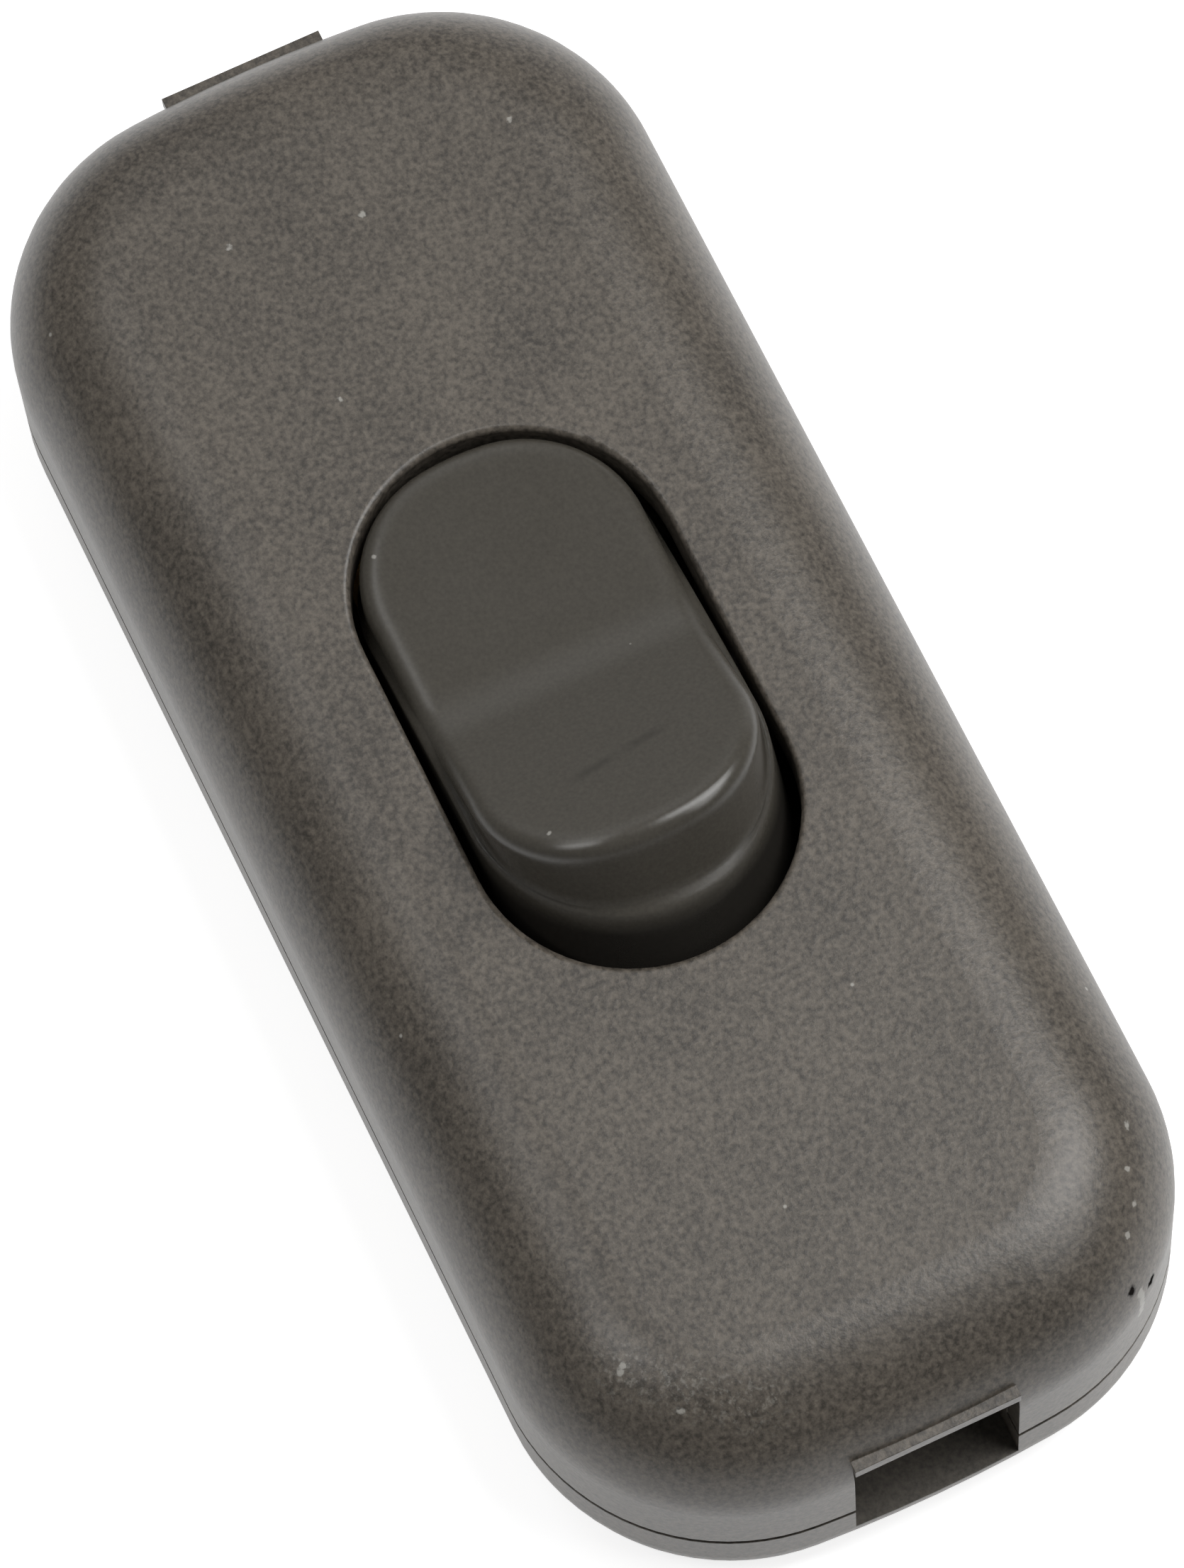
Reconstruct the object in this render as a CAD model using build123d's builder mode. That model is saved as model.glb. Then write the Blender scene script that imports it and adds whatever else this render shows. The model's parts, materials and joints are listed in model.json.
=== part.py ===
from build123d import *
from math import cos, radians, sin, sqrt, tan
import os

# In-line rocker switch for a round two-core cord, double pole, screwed together from below.
# X runs along the cord (+X is the near end), Y across, Z up; the origin is the bottom centre.
# It stands in the position where the near end of the rocker is raised and the contacts are open.
# All sizes are in millimetres, all angles in degrees.

# Housing
body_length = 60.8
body_width = 26.0
body_height = 12.8
corner_radius = 8.9
end_radius = 62.0
top_edge_radius = 5.0
bottom_edge_radius = 2.5
wall = 1.8
floor_thickness = 1.6
parting_height = 4.5
parting_gap = 0.28
tongue_height = 1.2
tongue_thickness = 0.8
seam_clearance = 0.1

# Cord entries
entry_width = 6.6
entry_floor = 2.6
entry_top = 9.05
lip_height = 0.6
channel_wall = 1.2
channel_wall_height = 2.6

# Rocker
opening_length = 22.3
opening_width = 12.4
opening_edge_radius = 0.25
pivot_depth = 5.0
rocker_swing = 26.0
cap_end_gap = 0.35
cap_side_gap = 0.66
cap_bow_radius = 10.0
cap_corner_radius = 4.9
cap_draft = 1.0
cap_edge_radius = 0.6
valley_radius = 4.5
ledge_width = 0.27
ledge_end_width = 0.5
ledge_edge_radius = 0.15
rim_apex_drop = 0.25
rim_radius = 60.0
skirt_drop = 0.8
rocker_wall = 1.1
rocker_top = 1.5
trunnion_radius = 1.3
running_clearance = 0.05
cheek_gap = 0.2
cheek_thickness = 1.6
cheek_half_length = 3.4
cheek_hang = 2.2
post_clearance = 0.15

# Contact mechanism
pole_offset = 3.1
blade_swing = 14.0
blade_length = 12.0
blade_width = 3.0
blade_thickness = 0.5
lug_radius = 0.5
lug_root = 0.3
ear_gap = 0.1
ear_thickness = 0.6
ear_rim = 0.55
ear_base_margin = 0.4
strip_thickness = 0.6
strip_width = 2.8
contact_reach = 5.2
contact_radius = 1.1
contact_height = 0.5
contact_dome = 3.0
contact_clearance = 0.06
rivet_radius = 0.6
rivet_back_radius = 0.9
rivet_back_height = 0.3
stop_radius = 0.8
stop_clearance = 0.07
plunger_radius = 1.2
plunger_tip_clearance = 0.1
plunger_guide = 0.9
guide_wall = 0.9
guide_drop = 0.4
stem_radius = 0.5
stem_length = 1.0
spring_wire_radius = 0.15
spring_wire_sides = 8
spring_turns = 4
spring_seat_clearance = 0.02
bore_roof = 1.9

# Terminals
terminal_start = 12.4
terminal_length = 5.0
terminal_width = 4.0
terminal_height = 5.0
wire_bore_radius = 1.2
wire_bore_height = 2.4
terminal_screw_radius = 1.2
terminal_screw_tip_gap = 0.2
terminal_head_radius = 1.9
terminal_head_height = 1.4
slot_width = 0.6
slot_depth = 0.7
pocket_clearance = 0.1
rib_thickness = 0.8
rib_clearance = 0.4

# Cord clamps
clamp_end_gap = 3.4
clamp_length = 4.0
clamp_thickness = 2.0
clamp_side = 1.8
clamp_ceiling_gap = 0.55
clamp_screw_spacing = 10.0
clamp_screw_radius = 1.0
clamp_screw_length = 5.6
clamp_screw_tip_gap = 0.4
clamp_head_radius = 1.8
clamp_head_height = 1.2
clamp_arch_radius = 3.2
clamp_arch_rise = 0.85
clamp_post_size = 3.4
grip_width = 0.6
grip_height = 0.5
grip_pitch = 2.0

# Housing screws
screw_radius = 1.1
screw_head_radius = 2.0
screw_head_height = 1.6
screw_head_recess = 0.4
screw_thread_length = 6.0
screw_clearance = 0.15
boss_radius = 2.6
boss_top = 4.0
pillar_radius = 2.0
pillar_clearance = 0.2
peg_radius = 1.0
peg_length = 1.6

# Levels and places that follow from the sizes above
ceiling = body_height - wall
upper_rim = parting_height + parting_gap / 2
lower_rim = parting_height - parting_gap / 2
tongue_top = upper_rim + tongue_height
pivot_z = body_height - pivot_depth
half_swing = radians(rocker_swing / 2)
half_blade_swing = radians(blade_swing / 2)
strip_top = floor_thickness + strip_thickness
dome_centre = contact_dome - blade_thickness / 2 - contact_height
contact_drop = contact_reach * sin(half_blade_swing) - dome_centre * cos(half_blade_swing) + contact_dome
blade_z = strip_top + contact_height + contact_clearance + contact_drop
plunger_reach = pivot_z - blade_z - blade_thickness / 2 - plunger_radius - plunger_tip_clearance
valley_height = pivot_depth / cos(half_swing)
bore_top = valley_height - bore_roof
cap_half_length = opening_length / 2 - cap_end_gap
cap_half_width = opening_width / 2 - cap_side_gap
skirt_half_length = cap_half_length + ledge_end_width
skirt_half_width = cap_half_width + ledge_width
skirt_bottom = pivot_z - skirt_drop - skirt_half_length * sin(radians(rocker_swing))
rim_apex = valley_height - rim_apex_drop
rim_end = rim_apex - rim_radius + sqrt(rim_radius**2 - skirt_half_length**2)
rocker_lowest = pivot_z - skirt_half_length * tan(half_swing) - skirt_drop / cos(half_swing)
terminal_centre = terminal_start + terminal_length / 2
terminal_top = strip_top + terminal_height
terminal_screw_length = terminal_height - wire_bore_height - terminal_screw_tip_gap
terminal_end = terminal_start + terminal_length
clamp_start = body_length / 2 - wall - clamp_end_gap - clamp_length
clamp_centre = clamp_start + clamp_length / 2
clamp_seat_height = ceiling - clamp_ceiling_gap - clamp_head_height - clamp_thickness
screw_x = (terminal_end + clamp_start) / 2
pillar_y = body_width / 2 - wall - pillar_clearance - pillar_radius
poles = {"left": -pole_offset, "right": pole_offset}
ends = {"near": 1, "far": -1}

# The rocker's own axes at rest: along it towards the raised end, and up through its valley
rocker_along = Vector(cos(half_swing), 0, sin(half_swing))
rocker_up = Vector(-sin(half_swing), 0, cos(half_swing))
pivot = Vector(0, 0, pivot_z)
rocker_plane = Plane(origin=pivot, x_dir=rocker_along, z_dir=rocker_up)
rocker_side = Plane(origin=pivot, x_dir=rocker_along, z_dir=(0, -1, 0))
rocker_middle = Plane(origin=pivot, x_dir=(0, 1, 0), z_dir=rocker_along)

# The blades' axes at rest: along them towards the lowered near end, and square to them
blade_along = Vector(cos(half_blade_swing), 0, -sin(half_blade_swing))
blade_up = Vector(sin(half_blade_swing), 0, cos(half_blade_swing))

os.makedirs("parts", exist_ok=True)


def save(block, name):
    """Label a finished piece and write it to its own file."""
    block.part.label = name
    export_step(block.part, f"parts/{name}.step")


def bowed_outline(half_length, half_width, bow_radius, corner, inset):
    """A plan with straight sides, bowed ends and round corners, moved in by inset."""
    corner_x = half_length - bow_radius + sqrt(bow_radius**2 - half_width**2)
    with BuildSketch() as plan:
        with BuildLine():
            Line((corner_x, -half_width), (-corner_x, -half_width))
            ThreePointArc((-corner_x, -half_width), (-half_length, 0), (-corner_x, half_width))
            Line((-corner_x, half_width), (corner_x, half_width))
            ThreePointArc((corner_x, half_width), (half_length, 0), (corner_x, -half_width))
        make_face()
        fillet(plan.vertices(), corner)
        if inset > 0:
            offset(amount=-inset)
    return plan.sketch


def housing_outline(inset):
    """Plan of the housing, moved in by inset."""
    return bowed_outline(body_length / 2, body_width / 2, end_radius, corner_radius, inset)


def cap_outline(inset):
    """Plan of the rocker's cap, moved in by inset."""
    return bowed_outline(cap_half_length, cap_half_width, cap_bow_radius, cap_corner_radius, inset)


def shell_form(inset):
    """The solid form of the upper housing, moved in by inset on its sides and top."""
    with BuildPart() as form:
        with BuildSketch(Plane.XY.offset(upper_rim)):
            add(housing_outline(inset))
        extrude(amount=body_height - inset - upper_rim)
        fillet(form.faces().sort_by(Axis.Z)[-1].edges(), top_edge_radius - inset)
    return form.part


def rocker_prism(plan, top, bottom, draft):
    """A prism with the level far half of a plan, mirrored to the rocker's raised half."""
    with BuildPart() as prism:
        with BuildSketch(Plane.XY.offset(top)):
            add(plan)
        extrude(amount=bottom - top, taper=-draft)
        split(bisect_by=rocker_middle, keep=Keep.BOTTOM)
        mirror(about=rocker_middle)
    return prism.part


def border_edges(faces):
    """The edges round a patch of faces, without those that two of the faces share."""
    def owners(edge):
        return sum(any(edge.is_same(other) for other in face.edges()) for face in faces)
    return faces.edges().filter_by(lambda edge: owners(edge) == 1)


def slotted_screw(x, y, seat, radius, length, head_radius, head_height):
    """A cheese-head screw with its head's underside at height seat, pointing down."""
    with BuildPart() as screw:
        with BuildSketch(Plane((x, y, seat))):
            Circle(head_radius)
        extrude(amount=head_height)
        with BuildSketch(Plane((x, y, seat))):
            Circle(radius)
        extrude(amount=-length)
        with BuildSketch(Plane((x, y, seat + head_height))):
            Rectangle(2 * head_radius + slot_width, slot_width)
        extrude(amount=-slot_depth, mode=Mode.SUBTRACT)
    return screw.part


# Pillars for the housing screws and the locating pegs, ending halfway into the upper shell's wall
with BuildPart() as pillars:
    for pillar_x in (screw_x, -screw_x):
        for side_y in (pillar_y, -pillar_y):
            with BuildSketch(Plane((pillar_x, side_y, upper_rim))):
                Circle(pillar_radius)
            extrude(amount=body_height - upper_rim)
    add(shell_form(wall / 2), mode=Mode.INTERSECT)
    extrude(pillars.faces().group_by(Axis.Z)[0], amount=upper_rim - boss_top)

# Upper housing: a shell with a large edge radius, open below
with BuildPart() as upper_housing:
    add(shell_form(0))
    add(shell_form(wall), mode=Mode.SUBTRACT)
    # Rebate that takes the tongue of the lower cover
    with BuildSketch(Plane.XY.offset(upper_rim)):
        add(housing_outline(wall - tongue_thickness - seam_clearance))
    extrude(amount=tongue_height, mode=Mode.SUBTRACT)
    add(pillars.part)
    for peg_x, peg_y in ((screw_x, pillar_y), (-screw_x, -pillar_y)):
        with BuildSketch(Plane((peg_x, peg_y, boss_top))):
            Circle(peg_radius)
        extrude(amount=-peg_length)
        with BuildSketch(Plane((peg_x, -peg_y, boss_top))):
            Circle(screw_radius + running_clearance)
        extrude(amount=screw_thread_length, mode=Mode.SUBTRACT)
    # Bearing cheeks for the rocker's trunnions, slotted from below
    for side in (1, -1):
        cheek_y = side * (opening_width / 2 + cheek_gap + cheek_thickness / 2)
        with BuildSketch(Plane((0, cheek_y, ceiling + wall / 2))):
            Rectangle(2 * cheek_half_length, cheek_thickness)
        extrude(amount=pivot_z - cheek_hang - ceiling - wall / 2)
        with BuildSketch(Plane(origin=(0, cheek_y, pivot_z), x_dir=(1, 0, 0), z_dir=(0, -1, 0))):
            Circle(trunnion_radius + running_clearance)
            with Locations((0, -cheek_hang)):
                Rectangle(2 * (trunnion_radius + running_clearance), 2 * cheek_hang)
        extrude(amount=cheek_thickness, both=True, mode=Mode.SUBTRACT)
    # Rocker opening
    with BuildSketch(Plane.XY.offset(ceiling)):
        SlotOverall(opening_length, opening_width)
    extrude(amount=wall, mode=Mode.SUBTRACT)
    fillet(upper_housing.faces().sort_by(Axis.Z)[-1].inner_wires()[0].edges(), opening_edge_radius)
    # Upper part of the cord entries, each under a flat-fronted lip
    for side in ends.values():
        entry_x = side * (body_length / 2 - wall / 2)
        with BuildSketch(Plane((entry_x, 0, upper_rim))):
            Rectangle(3 * wall, entry_width)
        extrude(amount=entry_top - upper_rim, mode=Mode.SUBTRACT)
        with BuildSketch(Plane((entry_x, 0, entry_top))):
            Rectangle(wall, entry_width)
        extrude(amount=lip_height)
save(upper_housing, "upper_housing")

# Lower cover: a tray with a tongue that locates the upper housing
with BuildPart() as lower_cover:
    with BuildSketch():
        add(housing_outline(0))
    extrude(amount=lower_rim)
    fillet(lower_cover.faces().sort_by(Axis.Z)[0].edges(), bottom_edge_radius)
    with BuildSketch(Plane.XY.offset(floor_thickness)):
        add(housing_outline(wall - tongue_thickness))
    extrude(amount=tongue_top - floor_thickness)
    with BuildSketch(Plane.XY.offset(floor_thickness)):
        add(housing_outline(wall))
    extrude(amount=tongue_top - floor_thickness, mode=Mode.SUBTRACT)
    # Bosses under the pillars
    for boss_x in (screw_x, -screw_x):
        for side_y in (pillar_y, -pillar_y):
            with BuildSketch(Plane((boss_x, side_y, floor_thickness / 2))):
                Circle(boss_radius)
            extrude(amount=boss_top - floor_thickness / 2)
    # Posts that close the bearing slots under the trunnions
    for side in (1, -1):
        cheek_y = side * (opening_width / 2 + cheek_gap + cheek_thickness / 2)
        with BuildSketch(Plane((0, cheek_y, floor_thickness / 2))):
            Rectangle(2 * (trunnion_radius + running_clearance - post_clearance), cheek_thickness)
        extrude(amount=pivot_z - trunnion_radius - running_clearance - floor_thickness / 2)
    # Insulating rib between the poles and the outer ribs that hold the terminal blocks
    with BuildSketch(Plane.XY.offset(floor_thickness / 2)):
        Rectangle(2 * terminal_end, rib_thickness)
    extrude(amount=rocker_lowest - rib_clearance - floor_thickness / 2)
    for side in ends.values():
        for pole_y in poles.values():
            rib_offset = terminal_width / 2 + pocket_clearance + rib_thickness / 2
            rib_y = pole_y + (rib_offset if pole_y > 0 else -rib_offset)
            with BuildSketch(Plane((side * terminal_centre, rib_y, floor_thickness / 2))):
                Rectangle(terminal_length, rib_thickness)
            extrude(amount=boss_top - floor_thickness / 2)
    # Cord channels: a raised floor between low walls, with grip ribs and clamp posts
    for side in ends.values():
        channel_end = body_length / 2 - wall + tongue_thickness / 2
        channel_x = side * (clamp_start + channel_end) / 2
        channel_length = channel_end - clamp_start
        with BuildSketch(Plane((channel_x, 0, floor_thickness / 2))):
            Rectangle(channel_length, entry_width + 2 * channel_wall)
        extrude(amount=entry_floor - floor_thickness / 2)
        for wall_side in (1, -1):
            with BuildSketch(Plane((channel_x, wall_side * (entry_width + channel_wall) / 2, entry_floor))):
                Rectangle(channel_length, channel_wall)
            extrude(amount=channel_wall_height)
            post_y = wall_side * clamp_screw_spacing / 2
            with BuildSketch(Plane((side * clamp_centre, post_y, floor_thickness / 2))):
                Rectangle(clamp_post_size, clamp_post_size)
            extrude(amount=clamp_seat_height - floor_thickness / 2)
        for grip_side in (1, -1):
            with BuildSketch(Plane((side * clamp_centre + grip_side * grip_pitch / 2, 0, entry_floor))):
                Rectangle(grip_width, entry_width)
            extrude(amount=grip_height)
        # The entry's notch in the end wall and its tongue
        with BuildSketch(Plane((side * (body_length / 2 - wall / 2), 0, entry_floor))):
            Rectangle(3 * wall, entry_width)
        extrude(amount=tongue_top - entry_floor, mode=Mode.SUBTRACT)
        for wall_side in (1, -1):
            pilot_y = wall_side * clamp_screw_spacing / 2
            with BuildSketch(Plane((side * clamp_centre, pilot_y, clamp_seat_height))):
                Circle(clamp_screw_radius + running_clearance)
            extrude(amount=clamp_thickness - clamp_screw_length - clamp_screw_tip_gap, mode=Mode.SUBTRACT)
    # Counterbored holes for the housing screws, and sockets for the pegs
    for boss_x in (screw_x, -screw_x):
        screw_side = -1 if boss_x > 0 else 1
        with BuildSketch(Plane((boss_x, screw_side * pillar_y, 0))):
            Circle(screw_head_radius + screw_clearance)
        extrude(amount=screw_head_recess + screw_head_height, mode=Mode.SUBTRACT)
        with BuildSketch(Plane((boss_x, screw_side * pillar_y, 0))):
            Circle(screw_radius + screw_clearance)
        extrude(amount=boss_top, mode=Mode.SUBTRACT)
        with BuildSketch(Plane((boss_x, -screw_side * pillar_y, boss_top))):
            Circle(peg_radius + running_clearance)
        extrude(amount=-peg_length - seam_clearance, mode=Mode.SUBTRACT)
save(lower_cover, "lower_cover")

# Housing screws, driven from below
with BuildPart() as housing_screws:
    for boss_x in (screw_x, -screw_x):
        screw_y = -pillar_y if boss_x > 0 else pillar_y
        seat = screw_head_recess + screw_head_height
        with BuildSketch(Plane((boss_x, screw_y, seat))):
            Circle(screw_head_radius)
        extrude(amount=-screw_head_height)
        with BuildSketch(Plane((boss_x, screw_y, seat))):
            Circle(screw_radius)
        extrude(amount=boss_top + screw_thread_length - seam_clearance - seat)
        for slot_size in ((2 * screw_radius, slot_width), (slot_width, 2 * screw_radius)):
            with BuildSketch(Plane((boss_x, screw_y, screw_head_recess))):
                Rectangle(*slot_size)
            extrude(amount=slot_depth, mode=Mode.SUBTRACT)
save(housing_screws, "housing_screws")

# Rocker: a hollow cap with a V-shaped top over a wider skirt, with trunnions and plunger guides
with BuildPart() as rocker_cap:
    add(rocker_prism(cap_outline(0), body_height, pivot_z, cap_draft))
    valley_edge = rocker_cap.edges().sort_by_distance(pivot + rocker_up * valley_height)[0]
    fillet(valley_edge, valley_radius)
    cap_top = rocker_cap.faces().filter_by(lambda face: face.normal_at().dot(rocker_up) > 0.9)
    fillet(border_edges(cap_top), cap_edge_radius)

with BuildSketch() as skirt_plan:
    SlotOverall(2 * skirt_half_length, 2 * skirt_half_width)

with BuildPart() as rocker_skirt:
    add(rocker_prism(skirt_plan.sketch, body_height, skirt_bottom, 0))
    # A crowned rim above and a flat edge below
    with BuildSketch(rocker_side):
        with BuildLine():
            rim = ThreePointArc((-skirt_half_length, rim_end), (0, rim_apex), (skirt_half_length, rim_end))
            side_x = skirt_half_length + wall
            Polyline(rim @ 1, (side_x, rim_end), (side_x, -skirt_drop),
                     (-side_x, -skirt_drop), (-side_x, rim_end), rim @ 0)
        make_face()
    extrude(amount=opening_width, both=True, mode=Mode.INTERSECT)
    skirt_rim = rocker_skirt.faces().filter_by(lambda face: face.normal_at().dot(rocker_up) > 0.9)
    fillet(border_edges(skirt_rim), ledge_edge_radius)

with BuildPart() as rocker:
    add(rocker_skirt.part)
    add(rocker_cap.part)
    add(rocker_prism(cap_outline(rocker_wall), body_height - rocker_top, skirt_bottom, 0), mode=Mode.SUBTRACT)
    for pole_y in poles.values():
        with BuildSketch(rocker_plane.offset(-guide_drop)):
            with Locations((0, pole_y)):
                Circle(plunger_radius + running_clearance + guide_wall)
        extrude(amount=guide_drop + bore_top + bore_roof / 2)
        with BuildSketch(rocker_plane.offset(-guide_drop)):
            with Locations((0, pole_y)):
                Circle(plunger_radius + running_clearance)
        extrude(amount=guide_drop + bore_top, mode=Mode.SUBTRACT)
    for side in (1, -1):
        trunnion_start = cap_half_width - rocker_wall / 2
        trunnion_end = opening_width / 2 + cheek_gap + cheek_thickness - seam_clearance
        trunnion_root = Vector(0, side * trunnion_start, pivot_z)
        with BuildSketch(Plane(origin=trunnion_root, x_dir=(1, 0, 0), z_dir=(0, side, 0))):
            Circle(trunnion_radius)
        extrude(amount=trunnion_end - trunnion_start)
save(rocker, "rocker")

# Plungers and their springs, one set for each pole, in the bores of the rocker
for name, pole_y in poles.items():
    pole_pivot = Vector(0, pole_y, pivot_z)
    plunger_side = Plane(origin=pole_pivot, x_dir=rocker_along, z_dir=(0, -1, 0))
    with BuildPart() as plunger:
        with BuildSketch(plunger_side):
            with BuildLine():
                stem_top = plunger_guide + stem_length
                Polyline((0, -plunger_reach - plunger_radius), (0, stem_top), (stem_radius, stem_top),
                         (stem_radius, plunger_guide), (plunger_radius, plunger_guide),
                         (plunger_radius, -plunger_reach))
                CenterArc((0, -plunger_reach), plunger_radius, 0, -90)
            make_face()
        revolve(axis=Axis(pole_pivot, rocker_up))
    save(plunger, f"{name}_plunger")

    spring_radius = plunger_radius - spring_wire_radius - running_clearance
    spring_start = plunger_guide + spring_wire_radius + spring_seat_clearance
    spring_height = bore_top - spring_wire_radius - spring_seat_clearance - spring_start
    with BuildPart() as spring:
        with BuildLine() as coil:
            Helix(pitch=spring_height / spring_turns, height=spring_height, radius=spring_radius,
                  center=pole_pivot + rocker_up * spring_start, direction=rocker_up)
        with BuildSketch(Plane(origin=coil.line @ 0, z_dir=coil.line % 0)):
            RegularPolygon(spring_wire_radius, spring_wire_sides)
        sweep(path=coil.line, is_frenet=True)
    save(spring, f"{name}_plunger_spring")

# See-saw blades, each with a contact rivet at its far end and lugs that turn in the bracket's ears
for name, pole_y in poles.items():
    blade_centre = Vector(0, pole_y, blade_z)
    blade_side = Plane(origin=blade_centre, x_dir=blade_along, z_dir=(0, -1, 0))
    rivet_axis_point = blade_centre - blade_along * contact_reach
    lug_end = blade_width / 2 + ear_gap + ear_thickness + ear_gap
    with BuildPart() as blade:
        with BuildSketch(blade_side):
            Rectangle(blade_length, blade_thickness)
        extrude(amount=blade_width / 2, both=True)
        fillet(blade.edges().filter_by(Axis(blade_centre, blade_up)), blade_width / 4)
        for side in (1, -1):
            lug_y = pole_y + side * (blade_width / 2 - lug_root)
            with BuildSketch(Plane(origin=(0, lug_y, blade_z), x_dir=(1, 0, 0), z_dir=(0, side, 0))):
                Circle(lug_radius)
            extrude(amount=lug_end - blade_width / 2 + lug_root)
        with BuildSketch(Plane(origin=rivet_axis_point, x_dir=blade_along, z_dir=blade_up)):
            Circle(rivet_radius + running_clearance)
        extrude(amount=blade_thickness, both=True, mode=Mode.SUBTRACT)
    save(blade, f"{name}_contact_blade")

    with BuildPart() as moving_contact:
        rivet_side = Plane(origin=rivet_axis_point, x_dir=blade_along, z_dir=(0, -1, 0))
        with BuildSketch(rivet_side):
            with BuildLine():
                face_z = -blade_thickness / 2 - contact_height
                dome_edge = dome_centre - sqrt(contact_dome**2 - contact_radius**2)
                back_z = blade_thickness / 2 + rivet_back_height
                RadiusArc((0, face_z), (contact_radius, dome_edge), -contact_dome)
                Polyline((contact_radius, dome_edge), (contact_radius, -blade_thickness / 2),
                         (rivet_radius, -blade_thickness / 2), (rivet_radius, blade_thickness / 2),
                         (rivet_back_radius, blade_thickness / 2), (rivet_back_radius, back_z),
                         (0, back_z), (0, face_z))
            make_face()
        revolve(axis=Axis(rivet_axis_point, blade_up))
    save(moving_contact, f"{name}_moving_contact")

# Brackets that carry the blades and lead to the near terminals, with a stop for the blade
contact_x = -(contact_reach * cos(half_blade_swing) - dome_centre * sin(half_blade_swing))
stop_x = contact_reach * cos(half_blade_swing)
stop_top = (blade_z - (stop_x + stop_radius) * tan(half_blade_swing)
            - blade_thickness / 2 / cos(half_blade_swing) - stop_clearance)
ear_radius = lug_radius + running_clearance + ear_rim
for name, pole_y in poles.items():
    with BuildPart() as bracket:
        with BuildSketch(Plane((terminal_end / 2, pole_y, floor_thickness))):
            Rectangle(terminal_end, strip_width)
        extrude(amount=strip_thickness)
        base_width = blade_width + 2 * (ear_gap + ear_thickness)
        with BuildSketch(Plane((0, pole_y, floor_thickness))):
            Rectangle(2 * (ear_radius + ear_base_margin), base_width)
        extrude(amount=strip_thickness)
        for side in (1, -1):
            ear_y = pole_y + side * (blade_width / 2 + ear_gap)
            with BuildSketch(Plane(origin=(0, ear_y, blade_z), x_dir=(1, 0, 0), z_dir=(0, side, 0))):
                Circle(ear_radius)
                with Locations((0, side * (blade_z - floor_thickness) / 2)):
                    Rectangle(2 * ear_radius, blade_z - floor_thickness)
                Circle(lug_radius + running_clearance, mode=Mode.SUBTRACT)
            extrude(amount=ear_thickness)
        with BuildSketch(Plane((stop_x, pole_y, floor_thickness))):
            Circle(stop_radius)
        extrude(amount=stop_top - floor_thickness)
    save(bracket, f"{name}_pivot_bracket")

# Fixed strips to the far terminals, each with its contact rivet
for name, pole_y in poles.items():
    strip_end = -contact_x - contact_radius - rivet_radius
    with BuildPart() as fixed_strip:
        with BuildSketch(Plane((-(terminal_end + strip_end) / 2, pole_y, floor_thickness))):
            Rectangle(terminal_end - strip_end, strip_width)
        extrude(amount=strip_thickness)
        with BuildSketch(Plane((contact_x, pole_y, floor_thickness))):
            Circle(rivet_radius + running_clearance)
        extrude(amount=strip_thickness, mode=Mode.SUBTRACT)
    save(fixed_strip, f"{name}_fixed_strip")

    with BuildPart() as fixed_contact:
        with BuildSketch(Plane((contact_x, pole_y, strip_top))):
            Circle(contact_radius)
        extrude(amount=contact_height)
        with BuildSketch(Plane((contact_x, pole_y, strip_top))):
            Circle(rivet_radius)
        extrude(amount=-strip_thickness)
    save(fixed_contact, f"{name}_fixed_contact")

# Terminal blocks: a wire bore along the cord and a screw from above
for end, direction in ends.items():
    for name, pole_y in poles.items():
        block_x = direction * terminal_centre
        with BuildPart() as terminal:
            with BuildSketch(Plane((block_x, pole_y, strip_top))):
                Rectangle(terminal_length, terminal_width)
            extrude(amount=terminal_height)
            chamfer(terminal.edges().group_by(Axis.Z)[-1], slot_width / 2)
            bore_plane = Plane(origin=(block_x, pole_y, strip_top + wire_bore_height), x_dir=(0, 1, 0),
                               z_dir=(1, 0, 0))
            with BuildSketch(bore_plane):
                Circle(wire_bore_radius)
            extrude(amount=terminal_length, both=True, mode=Mode.SUBTRACT)
            with BuildSketch(Plane((block_x, pole_y, terminal_top))):
                Circle(terminal_screw_radius + running_clearance)
            extrude(amount=wire_bore_height - terminal_height, mode=Mode.SUBTRACT)
        save(terminal, f"{end}_{name}_terminal")

with BuildPart() as terminal_screws:
    for direction in ends.values():
        for pole_y in poles.values():
            add(slotted_screw(direction * terminal_centre, pole_y, terminal_top, terminal_screw_radius,
                              terminal_screw_length, terminal_head_radius, terminal_head_height))
save(terminal_screws, "terminal_screws")

# Cord clamps: saddles arched over the cord's sheath, screwed to the posts
for end, direction in ends.items():
    saddle_x = direction * clamp_centre
    with BuildPart() as cord_clamp:
        with BuildSketch(Plane((saddle_x, 0, clamp_seat_height))):
            RectangleRounded(clamp_length, clamp_screw_spacing + 2 * clamp_side, clamp_side / 2)
        extrude(amount=clamp_thickness)
        arch_z = clamp_seat_height + clamp_arch_rise - clamp_arch_radius
        with BuildSketch(Plane(origin=(saddle_x, 0, arch_z), x_dir=(0, 1, 0), z_dir=(1, 0, 0))):
            Circle(clamp_arch_radius)
        extrude(amount=clamp_length, both=True, mode=Mode.SUBTRACT)
        for side in (1, -1):
            with BuildSketch(Plane((saddle_x, side * clamp_screw_spacing / 2, clamp_seat_height))):
                Circle(clamp_screw_radius + screw_clearance)
            extrude(amount=clamp_thickness, mode=Mode.SUBTRACT)
    save(cord_clamp, f"{end}_cord_clamp")

with BuildPart() as clamp_screws:
    for direction in ends.values():
        for side in (1, -1):
            add(slotted_screw(direction * clamp_centre, side * clamp_screw_spacing / 2,
                              clamp_seat_height + clamp_thickness, clamp_screw_radius,
                              clamp_screw_length, clamp_head_radius, clamp_head_height))
save(clamp_screws, "clamp_screws")
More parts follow.
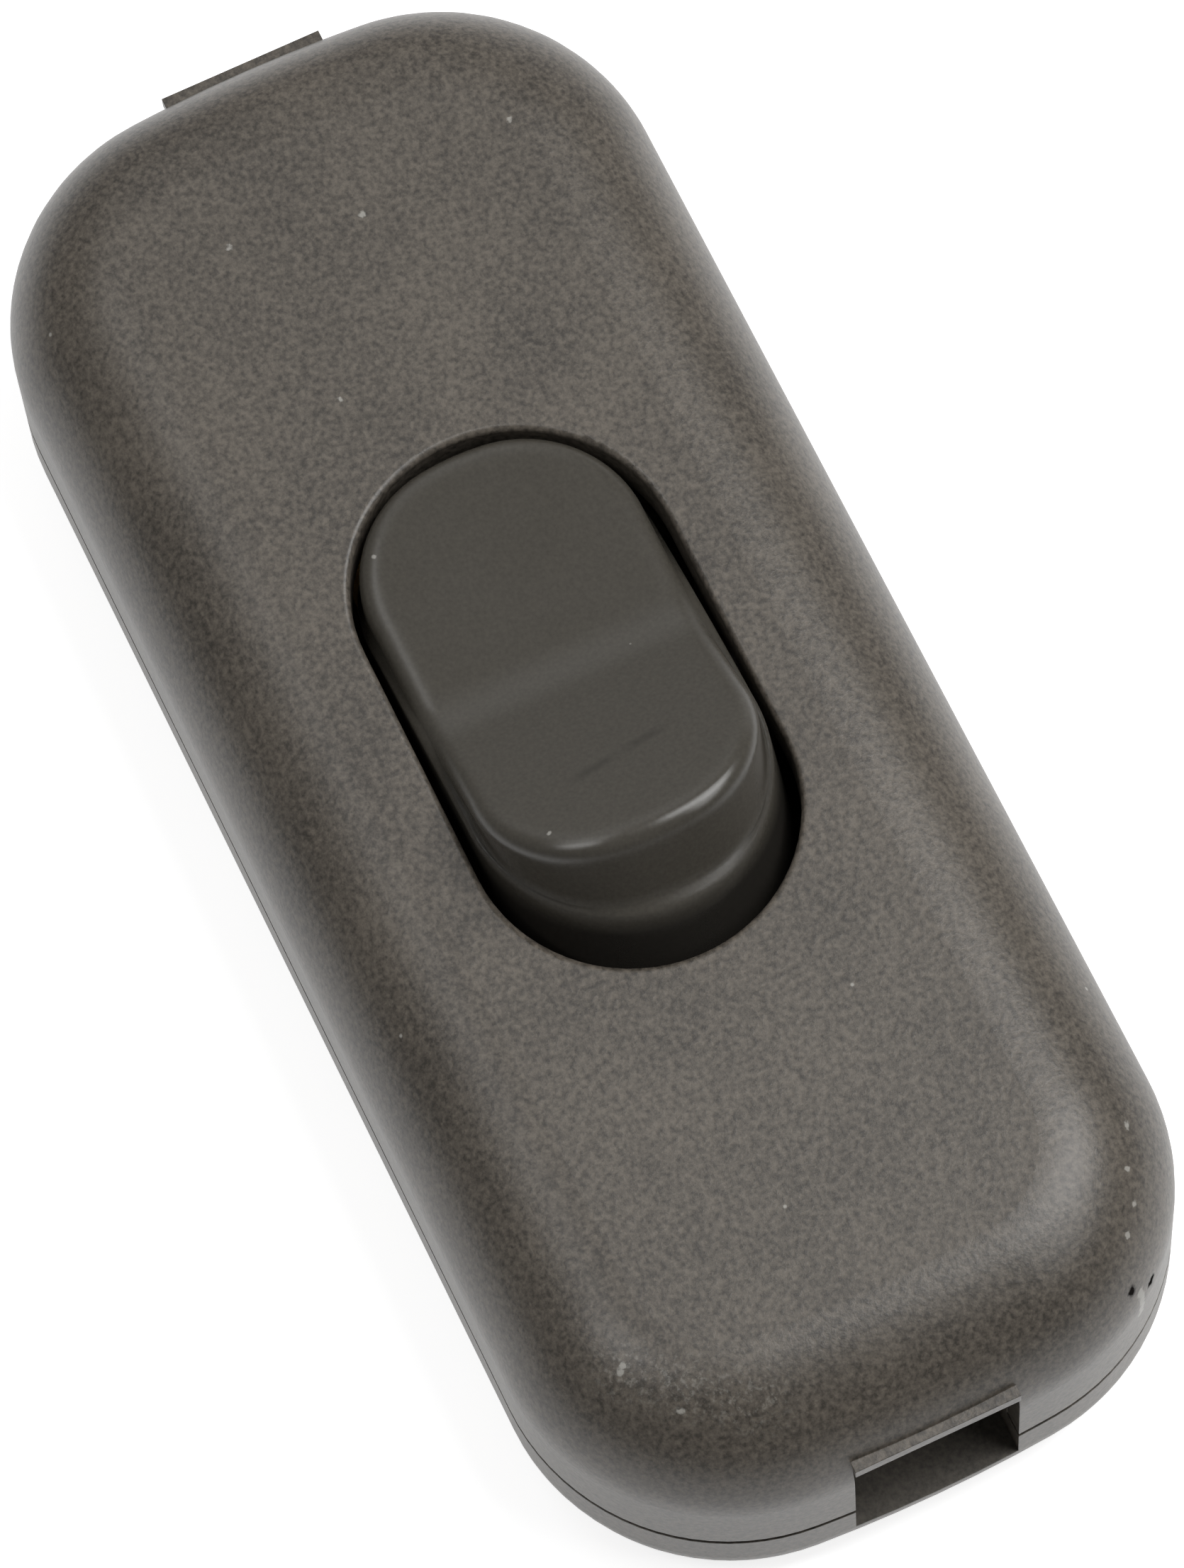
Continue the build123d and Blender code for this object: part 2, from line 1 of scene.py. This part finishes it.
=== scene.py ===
import json
import math

import bmesh
import bpy
from mathutils import Euler, Matrix, Vector

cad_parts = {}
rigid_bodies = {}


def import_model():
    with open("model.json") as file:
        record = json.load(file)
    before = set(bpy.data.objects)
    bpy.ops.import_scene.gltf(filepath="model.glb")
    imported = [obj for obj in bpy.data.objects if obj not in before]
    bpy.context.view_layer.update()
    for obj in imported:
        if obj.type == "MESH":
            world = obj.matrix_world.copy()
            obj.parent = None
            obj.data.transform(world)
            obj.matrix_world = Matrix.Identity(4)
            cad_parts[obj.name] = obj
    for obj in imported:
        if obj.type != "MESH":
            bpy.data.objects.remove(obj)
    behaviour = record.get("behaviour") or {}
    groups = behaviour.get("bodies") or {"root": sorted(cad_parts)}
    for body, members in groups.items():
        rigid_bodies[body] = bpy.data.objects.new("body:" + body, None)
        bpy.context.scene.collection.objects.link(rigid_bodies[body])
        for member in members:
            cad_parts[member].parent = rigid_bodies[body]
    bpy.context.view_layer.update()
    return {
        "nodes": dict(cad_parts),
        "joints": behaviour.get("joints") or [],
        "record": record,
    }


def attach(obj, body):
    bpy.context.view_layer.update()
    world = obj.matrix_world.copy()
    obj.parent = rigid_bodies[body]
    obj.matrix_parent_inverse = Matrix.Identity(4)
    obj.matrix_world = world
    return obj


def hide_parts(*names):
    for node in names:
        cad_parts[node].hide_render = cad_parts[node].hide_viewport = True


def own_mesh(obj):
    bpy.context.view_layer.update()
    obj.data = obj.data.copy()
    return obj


# In-line cord switch on a white table. Lengths are in metres; MM turns millimetres into metres.
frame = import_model()
scene = bpy.context.scene
scene.view_settings.view_transform = "Standard"

MM = 0.001

# Camera: the photograph's view, steeply from above with the near end towards the viewer
CAMERA_TARGET = Vector((1.7125, -0.2787, 8.0)) * MM
CAMERA_DISTANCE = 308.18 * MM
CAMERA_AZIMUTH = -19.619
CAMERA_ELEVATION = 68.509
CAMERA_ROLL = -6.030
CAMERA_LENS = 190.32
CAMERA_NEAREST = 1 * MM
CAMERA_FARTHEST = 10.0

# Soft boxes: name, direction as an azimuth from +X and an elevation in degrees, width and height, and level, which is
# the share of full light on a face towards the box
LIGHT_DISTANCE = 0.6
SOFT_BOXES = (
    ("right_soft_box", (91.0, 61.0), (0.28, 0.43), 0.70),
    ("left_soft_box", (-96.0, 63.0), (0.13, 0.24), 0.18),
    ("near_soft_box", (54.0, 48.0), (0.26, 0.26), 0.20),
    ("far_soft_box", (-150.0, 63.0), (0.22, 0.22), 0.07),
)

# Dim room: its level, the lighter walls with a direction, a spread in degrees and a level each, and how light the
# backdrop is to the camera and to gloss
ROOM_LEVEL = 0.10
LIGHT_WALLS = (((174.0, 40.0), 30.0, 0.7), ((135.0, 4.0), 26.0, 0.6))
BACKDROP_LEVEL = 0.9
MIRRORED_LEVEL = 0.15

# Table: white to the camera; in gloss the white fades out between two distances from the switch
TABLE_SIZE = 3.0
TABLE_GAP = 0.03 * MM
TABLE_GREY = 0.65
TABLE_GLOW = 0.75
GLOW_NEAR = 0.05
GLOW_FAR = 0.12

# Plastics, as linear colours
HOUSING_GREY = (0.080, 0.069, 0.056)
ROCKER_BLACK = (0.056, 0.051, 0.042)
CLAMP_BLACK = (0.050, 0.049, 0.047)
NYLON_WHITE = (0.62, 0.59, 0.53)
# Pale of scuffs and flecks, also used as painted light on the floors of the cord entries
SCUFF_AND_LIGHT_PALE = (0.33, 0.32, 0.29)
# Dark of the nick pits, also used as painted shade on the rocker's skirt
PIT_AND_SHADE_DARK = (0.012, 0.011, 0.010)

# Metals, as linear colours
ZINC_BRIGHT = (0.62, 0.62, 0.60)
SPRING_GREY = (0.46, 0.46, 0.45)
BRASS_YELLOW = (0.74, 0.55, 0.25)
SILVER_WHITE = (0.80, 0.79, 0.76)

# How finely edges are softened
EDGE_SAMPLES = 8

# Eroded grain of the housing: patterns in cells per metre, light and dark tone and where in the pattern they are
# reached, relief and softened edge
HOUSING_GRAIN = 4200
HOUSING_CLOUDS = 160
CLOUD_SHARE = 0.2
HOUSING_TONES = (1.55, 0.45)
HOUSING_SPREAD = (0.64, 0.36)
HOUSING_ROUGHNESS = 0.37
HOUSING_RELIEF = 0.012 * MM
HOUSING_EDGE = 0.06 * MM

# Gloss of the rocker: patterns in cells per metre, dark and light tone, roughness where clean and what smudges add
ROCKER_GRAIN = 6200
ROCKER_TONES = (0.75, 1.25)
ROCKER_ROUGHNESS = 0.15
SMUDGE_PATTERN = 260
SMUDGE_ROUGHNESS = 0.08
ROCKER_RIPPLE = 1400
ROCKER_RELIEF = 0.002 * MM
ROCKER_EDGE = 0.8 * MM

# Plain plastic inside: pattern in cells per metre, dark and light tone, relief and softened edge
INNER_GRAIN = 2600
INNER_TONES = (0.8, 1.2)
INNER_RELIEF = 0.01 * MM
INNER_EDGE = 0.08 * MM

# Worked metal: patterns in cells per metre, scale of the marks on each axis, dark and light tone, tone of tarnish and
# where in its pattern it is full and gone, what marks add to the roughness, relief and softened edge
METAL_MARKS = 6000
MARKS_SCALE = (0.15, 1.0, 1.0)
METAL_TONES = (0.85, 1.1)
TARNISH_PATTERN = 420
TARNISH_SPREAD = (0.66, 0.42)
TARNISH_TONE = 0.45
MARKS_ROUGHNESS = 0.15
METAL_RELIEF = 0.004 * MM
METAL_EDGE = 0.05 * MM

# Wear and painted light on the housing, in millimetres on the part: dust (spacing, size and share of cells that keep
# it), a nick low on the near right corner, a rubbed near left corner, pale flecks on both near corners and on the top,
# and painted light that makes the floors of the cord entries paler; patterns are in cells per metre
HOUSING_DUST = (3.1, 0.10, 0.30)
NICK_PITS = ((28.61, 8.62, 9.60), (28.27, 9.60, 8.52))
NICK_PIT_SIZE = 0.32
NICK_SCRAPE = ((28.6, 9.0, 8.95), (28.8, 8.94, 7.16))
NICK_SCRAPE_SIZE = 0.22
RUBBED_EDGE = ((24.04, -9.47, 12.33), (27.3, -5.49, 12.28))
RUB_CORE = 0.3
RUB_WIDTH = 1.7
RUB_STREAKS = 4600
RUB_SPREAD = (0.66, 0.52)
RUB_SHARE = 0.38
FLECKS = ((23.95, -9.4, 12.36), (24.15, -9.5, 12.3), (26.28, -8.2, 12.12), (23.44, 10.97, 11.56),
          (24.97, 10.18, 11.65), (26.17, 9.90, 11.21), (27.06, 9.17, 11.11), (-14.58, -2.78, 12.8),
          (-22.07, -3.95, 12.8), (-21.12, 1.10, 12.8), (-22.28, 7.83, 12.8))
FLECK_SIZE = 0.15
HOUSING_RAGGED = 0.25
RAGGED_PATTERN = 3400
# Painted light on the cord entries' floors: floor height, band around it, width, where the entries begin and share
ENTRY_FLOOR = 2.6
ENTRY_FLOOR_BAND = 0.05
ENTRY_WIDTH = 6.6
ENTRY_FROM = 25.0
ENTRY_LIGHT_SHARE = 0.22
HOUSING_SCUFF_AND_LIGHT_SHARE = 0.8

# Wear on the rocker, in millimetres on the part: dust, two flecks and a faint broken scratch on the raised half
ROCKER_DUST = (4.3, 0.09, 0.3)
ROCKER_FLECKS = ((5.79, -3.55, 16.18), (-8.24, -4.32, 12.79))
ROCKER_FLECK_SIZE = 0.11
ROCKER_RAGGED = 0.1
ROCKER_SCUFF_SHARE = 0.7
ROCKER_SCRATCH = ((3.99, -1.75, 15.31), (3.43, 2.06, 15.04))
SCRATCH_CORE = 0.03
SCRATCH_WIDTH = 0.3
SCRATCH_BREAKS = 900
SCRATCH_SPREAD = (0.60, 0.40)
SCRATCH_SHARE = 0.55
SCRATCH_TONE = 0.5

# The rocker's own upright at rest, and the heights along it between which painted shade darkens its skirt downwards
ROCKER_UPRIGHT = (180.0, 77.0)
SKIRT_SHADE_FULL_BELOW = 10.6
SKIRT_SHADE_GONE_ABOVE = 11.4
SKIRT_SHADE_SHARE = 0.8

# Coil springs of the plungers: wire and coil radius, turns, and how finely they are drawn
SPRING_WIRE = 0.15 * MM
SPRING_COIL = 1.0 * MM
SPRING_TURNS = 4
SPRING_STEPS = 28
SPRING_SIDES = 12


def direction(azimuth, elevation):
    """Unit vector at an azimuth from +X and an elevation above the floor, in degrees."""
    a, e = math.radians(azimuth), math.radians(elevation)
    return Vector((math.cos(a) * math.cos(e), math.sin(a) * math.cos(e), math.sin(e)))


def make_camera():
    camera = bpy.data.objects.new("camera", bpy.data.cameras.new("camera"))
    scene.collection.objects.link(camera)
    camera.data.lens = CAMERA_LENS
    back = direction(CAMERA_AZIMUTH, CAMERA_ELEVATION)
    camera.location = CAMERA_TARGET + back * CAMERA_DISTANCE
    aim = back.to_track_quat("Z", "Y").to_matrix()
    roll = Euler((0, 0, math.radians(CAMERA_ROLL))).to_matrix()
    camera.rotation_euler = (aim @ roll).to_euler()
    camera.data.clip_start, camera.data.clip_end = CAMERA_NEAREST, CAMERA_FARTHEST
    scene.camera = camera


def node(tree, kind, inputs=None, **settings):
    """Add a node, apply its settings, and feed its inputs with plain values or links."""
    made = tree.nodes.new(kind)
    for name, value in settings.items():
        setattr(made, name, value)
    for key, value in (inputs or {}).items():
        if isinstance(value, bpy.types.NodeSocket):
            tree.links.new(value, made.inputs[key])
        else:
            made.inputs[key].default_value = value
    return made


def maths(tree, operation, first, second=0.0):
    return node(tree, "ShaderNodeMath", {0: first, 1: second}, operation=operation).outputs[0]


def vector_maths(tree, operation, first, second):
    made = node(tree, "ShaderNodeVectorMath", {0: first, 1: second}, operation=operation)
    return made.outputs["Value"] if operation in ("DOT_PRODUCT", "DISTANCE") else made.outputs["Vector"]


def strongest(tree, first, *others):
    """The highest of several shares."""
    for share in others:
        first = maths(tree, "MAXIMUM", first, share)
    return first


def fade(tree, value, start, end):
    """1 where value is at start or beyond it, falling to 0 at end."""
    made = node(tree, "ShaderNodeMapRange", {"Value": value, "From Min": start, "From Max": end,
                                             "To Min": 1.0, "To Max": 0.0})
    return made.outputs[0]


def mix_colour(tree, share, first, second):
    """Blend from the first colour to the second by a share from 0 to 1."""
    made = node(tree, "ShaderNodeMix", data_type="RGBA")
    for index, value in ((0, share), (6, first), (7, second)):
        if isinstance(value, bpy.types.NodeSocket):
            tree.links.new(value, made.inputs[index])
        else:
            made.inputs[index].default_value = value if index == 0 else (*value, 1)
    return made.outputs[2]


def shade(colour, factor):
    return tuple(min(1.0, channel * factor) for channel in colour)


def noise(tree, place, scale, detail=2.0, roughness=0.5):
    made = node(tree, "ShaderNodeTexNoise", {"Vector": place, "Scale": scale, "Detail": detail,
                                             "Roughness": roughness})
    return made.outputs[0]


def new_finish(name):
    """A material with its shader and the Object coordinates that its patterns use."""
    material = bpy.data.materials.new(name)
    material.use_nodes = True
    tree = material.node_tree
    place = node(tree, "ShaderNodeTexCoord").outputs["Object"]
    return material, tree, tree.nodes["Principled BSDF"], place


def distance_to_segment(tree, place, start, end):
    """Distance in metres from the surface point to a straight segment given in millimetres."""
    start, end = Vector(start) * MM, Vector(end) * MM
    along = (end - start).normalized()
    offset = vector_maths(tree, "SUBTRACT", place, start)
    reach = vector_maths(tree, "DOT_PRODUCT", offset, along)
    reach = maths(tree, "MINIMUM", maths(tree, "MAXIMUM", reach, 0.0), (end - start).length)
    scaled = node(tree, "ShaderNodeVectorMath", {0: along, "Scale": reach}, operation="SCALE").outputs["Vector"]
    return vector_maths(tree, "DISTANCE", offset, scaled)


def dust_specks(tree, place, spacing, size, kept):
    """Share of dust: small specks about a spacing apart, both in millimetres, of which only some cells keep theirs."""
    cells = node(tree, "ShaderNodeTexVoronoi", {"Vector": place, "Scale": 1 / (spacing * MM)})
    speck = fade(tree, cells.outputs["Distance"], 0.5 * size / spacing, size / spacing)
    chosen = node(tree, "ShaderNodeSeparateColor", {0: cells.outputs["Color"]}).outputs[0]
    return maths(tree, "MULTIPLY", speck, maths(tree, "GREATER_THAN", chosen, 1 - kept))


def marks_at(tree, place, spots, size, ragged):
    """Share of small marks of a size at listed spots, both in millimetres, with ragged edges."""
    share = 0.0
    for spot in spots:
        away = maths(tree, "ADD", vector_maths(tree, "DISTANCE", place, Vector(spot) * MM), ragged)
        share = maths(tree, "MAXIMUM", fade(tree, away, 0.5 * size * MM, size * MM), share)
    return share


def ragged_edge(tree, place, reach):
    """An uneven offset of up to about a reach in millimetres, for the edges of marks."""
    uneven = maths(tree, "SUBTRACT", noise(tree, place, RAGGED_PATTERN, detail=3.0), 0.5)
    return maths(tree, "MULTIPLY", uneven, 2 * reach * MM)


def bumped(tree, shader, height, depth, edge_radius):
    """Give the shader a fine relief of a depth in metres, over softened edges."""
    soft = node(tree, "ShaderNodeBevel", {"Radius": edge_radius}, samples=EDGE_SAMPLES).outputs[0]
    relief = node(tree, "ShaderNodeBump", {"Height": height, "Strength": 1.0, "Distance": depth, "Normal": soft})
    tree.links.new(relief.outputs[0], shader.inputs["Normal"])


def entry_painted_light(tree, place):
    """Share of painted light on the floors of the two cord entries, standing in for light that reaches them."""
    spot = node(tree, "ShaderNodeSeparateXYZ", {0: place})
    inside = maths(tree, "LESS_THAN", maths(tree, "ABSOLUTE", spot.outputs["Y"]), 0.5 * ENTRY_WIDTH * MM)
    above = maths(tree, "SUBTRACT", spot.outputs["Z"], ENTRY_FLOOR * MM)
    low = maths(tree, "LESS_THAN", maths(tree, "ABSOLUTE", above), ENTRY_FLOOR_BAND * MM)
    ends = maths(tree, "GREATER_THAN", maths(tree, "ABSOLUTE", spot.outputs["X"]), ENTRY_FROM * MM)
    floor = maths(tree, "MULTIPLY", maths(tree, "MULTIPLY", inside, low), ends)
    return maths(tree, "MULTIPLY", floor, ENTRY_LIGHT_SHARE)


def housing_scuffs_and_light(tree, place, ragged):
    """Share of pale wear on the housing, and of painted light on the floors of the cord entries."""
    streaks = fade(tree, noise(tree, place, RUB_STREAKS, detail=3.0, roughness=0.7), *RUB_SPREAD)
    rubbed = fade(tree, distance_to_segment(tree, place, *RUBBED_EDGE), RUB_CORE * MM, RUB_WIDTH * MM)
    rubbed = maths(tree, "MULTIPLY", rubbed, maths(tree, "MULTIPLY", streaks, RUB_SHARE))
    scraped = maths(tree, "ADD", distance_to_segment(tree, place, *NICK_SCRAPE), ragged)
    scraped = fade(tree, scraped, 0.5 * NICK_SCRAPE_SIZE * MM, NICK_SCRAPE_SIZE * MM)
    return strongest(tree, dust_specks(tree, place, *HOUSING_DUST), rubbed, scraped,
                     marks_at(tree, place, FLECKS, FLECK_SIZE, ragged), entry_painted_light(tree, place))


def housing_plastic():
    """Matt moulded plastic with a fine eroded grain, flecked at the near corners and nicked at one, with painted light
    on the cord entries' floors.
    """
    material, tree, shader, place = new_finish("housing_plastic")
    grain = noise(tree, place, HOUSING_GRAIN, detail=3.0, roughness=0.7)
    cloud = noise(tree, place, HOUSING_CLOUDS, detail=3.0)
    tone = maths(tree, "ADD", maths(tree, "MULTIPLY", grain, 1 - CLOUD_SHARE),
                 maths(tree, "MULTIPLY", cloud, CLOUD_SHARE))
    light, dark = HOUSING_TONES
    darker = fade(tree, tone, *HOUSING_SPREAD)
    colour = mix_colour(tree, darker, shade(HOUSING_GREY, light), shade(HOUSING_GREY, dark))
    ragged = ragged_edge(tree, place, HOUSING_RAGGED)
    # Pale wear, and painted light that makes the cord entries' floors paler
    pale = maths(tree, "MULTIPLY", housing_scuffs_and_light(tree, place, ragged), HOUSING_SCUFF_AND_LIGHT_SHARE)
    colour = mix_colour(tree, pale, colour, SCUFF_AND_LIGHT_PALE)
    pits = marks_at(tree, place, NICK_PITS, NICK_PIT_SIZE, ragged)
    colour = mix_colour(tree, pits, colour, PIT_AND_SHADE_DARK)
    tree.links.new(colour, shader.inputs["Base Color"])
    # The usual gloss level of 0.5, falling to none in the pits
    tree.links.new(fade(tree, pits, -1.0, 1.0), shader.inputs["Specular IOR Level"])
    shader.inputs["Roughness"].default_value = HOUSING_ROUGHNESS
    bumped(tree, shader, grain, HOUSING_RELIEF, HOUSING_EDGE)
    return material


def rocker_plastic():
    """Smooth glossy plastic with faint smudges and one faint scratch across the raised half, and painted shade on its
    skirt below the rim.
    """
    material, tree, shader, place = new_finish("rocker_plastic")
    dark, light = ROCKER_TONES
    grain = noise(tree, place, ROCKER_GRAIN)
    colour = mix_colour(tree, grain, shade(ROCKER_BLACK, dark), shade(ROCKER_BLACK, light))
    # Painted shade: the skirt below the rim darkens downwards, standing in for the shade in the gap around it
    height = vector_maths(tree, "DOT_PRODUCT", place, direction(*ROCKER_UPRIGHT))
    skirt = fade(tree, height, SKIRT_SHADE_FULL_BELOW * MM, SKIRT_SHADE_GONE_ABOVE * MM)
    colour = mix_colour(tree, maths(tree, "MULTIPLY", skirt, SKIRT_SHADE_SHARE), colour, PIT_AND_SHADE_DARK)
    scratch = fade(tree, distance_to_segment(tree, place, *ROCKER_SCRATCH), SCRATCH_CORE * MM, SCRATCH_WIDTH * MM)
    broken = fade(tree, noise(tree, place, SCRATCH_BREAKS, detail=3.0), *SCRATCH_SPREAD)
    scratch = maths(tree, "MULTIPLY", maths(tree, "MULTIPLY", scratch, broken), SCRATCH_SHARE)
    colour = mix_colour(tree, scratch, colour, shade(ROCKER_BLACK, SCRATCH_TONE))
    ragged = ragged_edge(tree, place, ROCKER_RAGGED)
    pale = strongest(tree, dust_specks(tree, place, *ROCKER_DUST),
                     marks_at(tree, place, ROCKER_FLECKS, ROCKER_FLECK_SIZE, ragged))
    colour = mix_colour(tree, maths(tree, "MULTIPLY", pale, ROCKER_SCUFF_SHARE), colour, SCUFF_AND_LIGHT_PALE)
    tree.links.new(colour, shader.inputs["Base Color"])
    smudge = maths(tree, "MULTIPLY", noise(tree, place, SMUDGE_PATTERN, detail=3.0), SMUDGE_ROUGHNESS)
    tree.links.new(maths(tree, "ADD", smudge, ROCKER_ROUGHNESS), shader.inputs["Roughness"])
    bumped(tree, shader, noise(tree, place, ROCKER_RIPPLE), ROCKER_RELIEF, ROCKER_EDGE)
    return material


def mottled_plastic(name, base, roughness):
    """Plain moulded plastic with a fine grain, for pieces inside."""
    material, tree, shader, place = new_finish(name)
    dark, light = INNER_TONES
    grain = noise(tree, place, INNER_GRAIN, detail=3.0)
    colour = mix_colour(tree, grain, shade(base, dark), shade(base, light))
    tree.links.new(colour, shader.inputs["Base Color"])
    shader.inputs["Roughness"].default_value = roughness
    bumped(tree, shader, grain, INNER_RELIEF, INNER_EDGE)
    return material


def worked_metal(name, base, roughness, tarnish):
    """Metal with fine working marks along the part and a little tarnish in patches."""
    material, tree, shader, place = new_finish(name)
    dark, light = METAL_TONES
    drawn = node(tree, "ShaderNodeMapping", {"Vector": place, "Scale": MARKS_SCALE}).outputs[0]
    marks = noise(tree, drawn, METAL_MARKS, detail=3.0)
    patches = fade(tree, noise(tree, place, TARNISH_PATTERN, detail=4.0), *TARNISH_SPREAD)
    colour = mix_colour(tree, marks, shade(base, dark), shade(base, light))
    colour = mix_colour(tree, maths(tree, "MULTIPLY", patches, tarnish), colour, shade(base, TARNISH_TONE))
    tree.links.new(colour, shader.inputs["Base Color"])
    shader.inputs["Metallic"].default_value = 1.0
    uneven = maths(tree, "ADD", maths(tree, "MULTIPLY", marks, MARKS_ROUGHNESS), roughness)
    tree.links.new(uneven, shader.inputs["Roughness"])
    bumped(tree, shader, marks, METAL_RELIEF, METAL_EDGE)
    return material


def ray_shares(tree):
    """Which rays come straight from the camera, and which by way of gloss or glass."""
    path = node(tree, "ShaderNodeLightPath")
    mirrored = maths(tree, "MAXIMUM", path.outputs["Is Glossy Ray"], path.outputs["Is Transmission Ray"])
    return path.outputs["Is Camera Ray"], mirrored


def table_white():
    """White paper that glows for the camera and, near the switch, for gloss, and still takes a shadow."""
    material = bpy.data.materials.new("table_white")
    material.use_nodes = True
    tree = material.node_tree
    tree.nodes.remove(tree.nodes["Principled BSDF"])
    paper = node(tree, "ShaderNodeBsdfDiffuse", {"Color": (TABLE_GREY, TABLE_GREY, TABLE_GREY, 1)})
    place = node(tree, "ShaderNodeTexCoord").outputs["Object"]
    away = vector_maths(tree, "DISTANCE", place, (0, 0, 0))
    camera, mirrored = ray_shares(tree)
    mirrored = maths(tree, "MULTIPLY", mirrored, fade(tree, away, GLOW_NEAR, GLOW_FAR))
    seen = strongest(tree, camera, mirrored)
    glow = node(tree, "ShaderNodeEmission", {"Strength": maths(tree, "MULTIPLY", seen, TABLE_GLOW)})
    both = node(tree, "ShaderNodeAddShader", {0: paper.outputs[0], 1: glow.outputs[0]})
    tree.links.new(both.outputs[0], tree.nodes["Material Output"].inputs["Surface"])
    return material


def finish_mesh(bm, name, material):
    """Turn a bmesh into an object at the origin with one material."""
    mesh = bpy.data.meshes.new(name)
    bm.to_mesh(mesh)
    bm.free()
    mesh.materials.append(material)
    made = bpy.data.objects.new(name, mesh)
    scene.collection.objects.link(made)
    return made


def make_table():
    bm = bmesh.new()
    bmesh.ops.create_grid(bm, x_segments=1, y_segments=1, size=TABLE_SIZE / 2,
                          matrix=Matrix.Translation((0, 0, -TABLE_GAP)))
    table = finish_mesh(bm, "table_top", table_white())


def make_soft_box(name, seen_from, size, level):
    """A rectangular lamp aimed at the switch."""
    lamp = bpy.data.lights.new(name, "AREA")
    lamp.shape = "RECTANGLE"
    lamp.size, lamp.size_y = size
    lamp.energy = level * math.pi**2 * LIGHT_DISTANCE**2
    box = bpy.data.objects.new(name, lamp)
    toward = direction(*seen_from)
    box.location = toward * LIGHT_DISTANCE
    box.rotation_euler = toward.to_track_quat("Z", "Y").to_euler()
    scene.collection.objects.link(box)


def make_room():
    """A dim room with lighter walls, which the camera itself sees as a pale backdrop."""
    world = bpy.data.worlds.new("dim_room")
    scene.world = world
    world.use_nodes = True
    tree = world.node_tree
    background = tree.nodes["Background"]
    background.inputs["Color"].default_value = (1, 1, 1, 1)
    toward = node(tree, "ShaderNodeTexCoord").outputs["Generated"]
    room = ROOM_LEVEL
    for seen_at, spread, level in LIGHT_WALLS:
        facing = vector_maths(tree, "DOT_PRODUCT", toward, direction(*seen_at))
        wall = fade(tree, facing, 1.0, math.cos(math.radians(spread)))
        room = maths(tree, "ADD", maths(tree, "MULTIPLY", wall, level), room)
    camera, mirrored = ray_shares(tree)
    backdrop = maths(tree, "MULTIPLY", camera, BACKDROP_LEVEL)
    reflected = maths(tree, "MULTIPLY", mirrored, MIRRORED_LEVEL)
    tree.links.new(strongest(tree, room, backdrop, reflected), background.inputs["Strength"])


def dress_nodes():
    """Put a finish on every node of the frame by its material slot."""
    finishes = {
        "housing_plastic": housing_plastic(),
        "rocker_plastic": rocker_plastic(),
        "clamp_plastic": mottled_plastic("clamp_plastic", CLAMP_BLACK, roughness=0.55),
        "plunger_plastic": mottled_plastic("plunger_plastic", NYLON_WHITE, roughness=0.4),
        "screw_steel": worked_metal("screw_steel", ZINC_BRIGHT, roughness=0.25, tarnish=0.25),
        "spring_steel": worked_metal("spring_steel", SPRING_GREY, roughness=0.25, tarnish=0.15),
        "contact_brass": worked_metal("contact_brass", BRASS_YELLOW, roughness=0.25, tarnish=0.4),
        "contact_silver": worked_metal("contact_silver", SILVER_WHITE, roughness=0.2, tarnish=0.15),
    }
    slots = {row["node"]: row["material_slot"] for row in frame["record"]["subparts"]}
    for name, piece in frame["nodes"].items():
        piece.data.materials.clear()
        piece.data.materials.append(finishes[slots[name]])


def make_spring(solid_name, joint):
    """A round-wire coil in place of a spring's solid, carried by the joint's parent body."""
    solid = frame["nodes"][solid_name]
    axis = Vector(joint["axis"]).normalized()
    turn = axis.to_track_quat("Z", "Y").to_matrix()

    # The solid's box along the plunger's axis, and the angle at which its wire starts
    corners = [turn.transposed() @ vertex.co for vertex in solid.data.vertices]
    low = Vector(min(corner[i] for corner in corners) for i in range(3))
    high = Vector(max(corner[i] for corner in corners) for i in range(3))
    lowest = min(corners, key=lambda corner: corner.z) - (low + high) / 2
    start_angle = math.atan2(lowest.y, lowest.x)

    # One wire section, swept up the turns, closed at both ends and moved into place
    steps = SPRING_TURNS * SPRING_STEPS
    rise = high.z - low.z - 2 * SPRING_WIRE
    section = Matrix.Translation((SPRING_COIL, 0, 0)) @ Matrix.Rotation(math.radians(90), 4, "X")
    bm = bmesh.new()
    bmesh.ops.create_circle(bm, segments=SPRING_SIDES, radius=SPRING_WIRE, matrix=section)
    bmesh.ops.spin(bm, geom=bm.verts[:] + bm.edges[:], axis=(0, 0, 1), dvec=(0, 0, rise / steps),
                   angle=math.radians(360 * SPRING_TURNS), steps=steps)
    bmesh.ops.holes_fill(bm, edges=bm.edges[:], sides=SPRING_SIDES)
    bmesh.ops.recalc_face_normals(bm, faces=bm.faces[:])
    foot = Vector(((low.x + high.x) / 2, (low.y + high.y) / 2, low.z + SPRING_WIRE))
    seat = turn.to_4x4() @ Matrix.Translation(foot) @ Matrix.Rotation(start_angle, 4, "Z")
    bmesh.ops.transform(bm, matrix=seat, verts=bm.verts[:])
    for face in bm.faces:
        face.smooth = True

    coil = finish_mesh(bm, solid_name + "_coil", solid.data.materials[0])
    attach(coil, joint["parent"])
    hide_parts(solid_name)
    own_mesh(coil)


make_camera()
make_table()
for soft_box in SOFT_BOXES:
    make_soft_box(*soft_box)
make_room()
dress_nodes()
for joint in frame["joints"]:
    for row in joint.get("deforming_nodes", []):
        make_spring(row["node"], joint)
